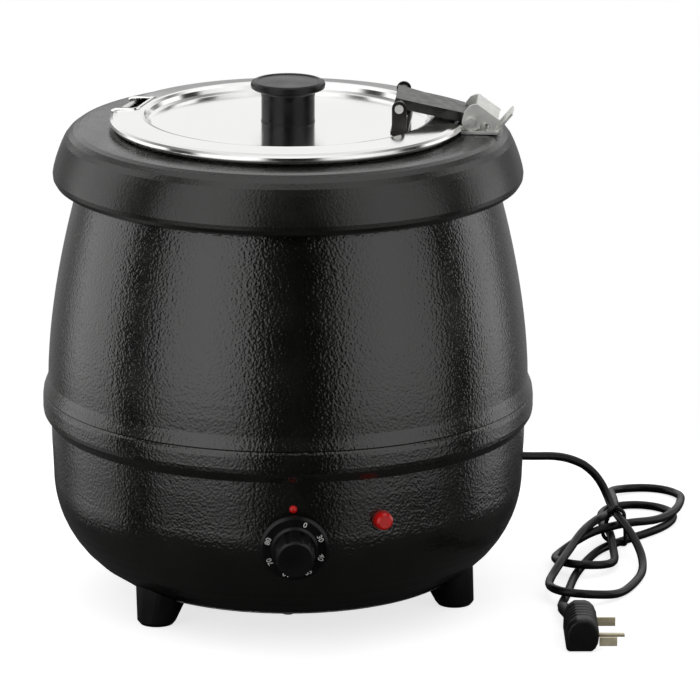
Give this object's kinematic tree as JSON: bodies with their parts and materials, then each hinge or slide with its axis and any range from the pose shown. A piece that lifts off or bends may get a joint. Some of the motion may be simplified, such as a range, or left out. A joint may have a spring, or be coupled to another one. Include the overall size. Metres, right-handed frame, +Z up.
{
  "type": "soup kettle",
  "caption": "Round black wet-well soup kettle with a lift-out steel pot, hinged lid with ladle notch, dial thermostat, indicator lamp, three feet and a tied mains lead.",
  "frame": {"origin": "on the kettle's vertical axis, at the surface its feet stand on", "axes": "+Z up, -Y out through the dial at the front, +X towards the lid hinge side"},
  "size_m": [0.474, 0.4264, 0.3635],
  "materials": {
    "hammered_black": "hammered gloss",
    "collar_black": "satin",
    "polished_steel": "polished",
    "pot_steel": "satin",
    "plated_steel": "zinc plated",
    "arm_steel": "dull",
    "bracket_dark": "dull",
    "black_plastic": "semi-gloss",
    "foot_plastic": "matt",
    "lead_black": "semi-gloss",
    "brass": "polished",
    "red_lens": "gloss",
    "lamp_red": "satin",
    "gasket_red": "matt",
    "element_sheath": "heat tinted",
    "copper": "dull",
    "white_plastic": "matt",
    "wire_brown": "matt"
  },
  "bodies": {
    "base": {"lower_shell": "hammered_black", "upper_shell": "hammered_black", "base_plate": "plated_steel", "foot_left": "foot_plastic", "foot_right": "foot_plastic", "foot_rear": "foot_plastic", "foot_screws": "plated_steel", "base_screws": "plated_steel", "water_well": "pot_steel", "well_gasket": "gasket_red", "heating_element": "element_sheath", "element_clamp": "plated_steel", "clamp_nuts": "plated_steel", "thermal_cutout": "white_plastic", "thermostat_body": "white_plastic", "thermostat_nut": "plated_steel", "thermostat_bulb": "copper", "capillary": "copper", "index_pip": "red_lens", "lamp_lens": "red_lens", "lamp_body": "lamp_red", "lamp_nut": "plated_steel", "terminal_block": "white_plastic", "internal_wiring": "wire_brown", "earth_stud": "brass", "cord_gland": "foot_plastic", "gland_nut": "foot_plastic", "power_cord": "lead_black", "cord_hank": "lead_black", "cord_tie": "foot_plastic", "plug_cord": "lead_black", "plug_relief": "foot_plastic", "plug_body": "foot_plastic", "plug_pins": "brass"},
    "collar": {"collar": "collar_black"},
    "pot": {"inner_pot": "pot_steel", "rim_clip": "plated_steel", "hinge_yoke": "plated_steel", "yoke_screws": "plated_steel", "hinge_pin": "plated_steel"},
    "lid": {"lid_shell": "polished_steel", "notch_trim": "polished_steel", "lid_bracket": "bracket_dark", "bracket_rivets": "plated_steel", "ear_rivet": "plated_steel", "lid_arm": "arm_steel", "knob_stem": "black_plastic", "knob_cap": "black_plastic", "knob_screw": "plated_steel", "knob_washer": "plated_steel"},
    "dial": {"dial": "black_plastic", "dial_shaft": "plated_steel"}
  },
  "joints": [
    {"name": "collar_lift", "type": "slide", "parent": "base", "child": "collar", "axis": [0, 0, 1], "range_m": [0, 0.06]},
    {"name": "pot_lift", "type": "slide", "parent": "collar", "child": "pot", "axis": [0, 0, 1], "range_m": [0, 0.24]},
    {"name": "lid_hinge", "type": "hinge", "parent": "pot", "child": "lid", "pos_m": [0.12599, -0.00881, 0.34], "axis": [0.0698, 0.9976, 0], "range_deg": [0, 70]},
    {"name": "dial_turn", "type": "hinge", "parent": "base", "child": "dial", "pos_m": [0.00426, -0.16274, 0.08], "axis": [0.026, -0.9942, -0.1045], "range_deg": [0, 288]}
  ]
}
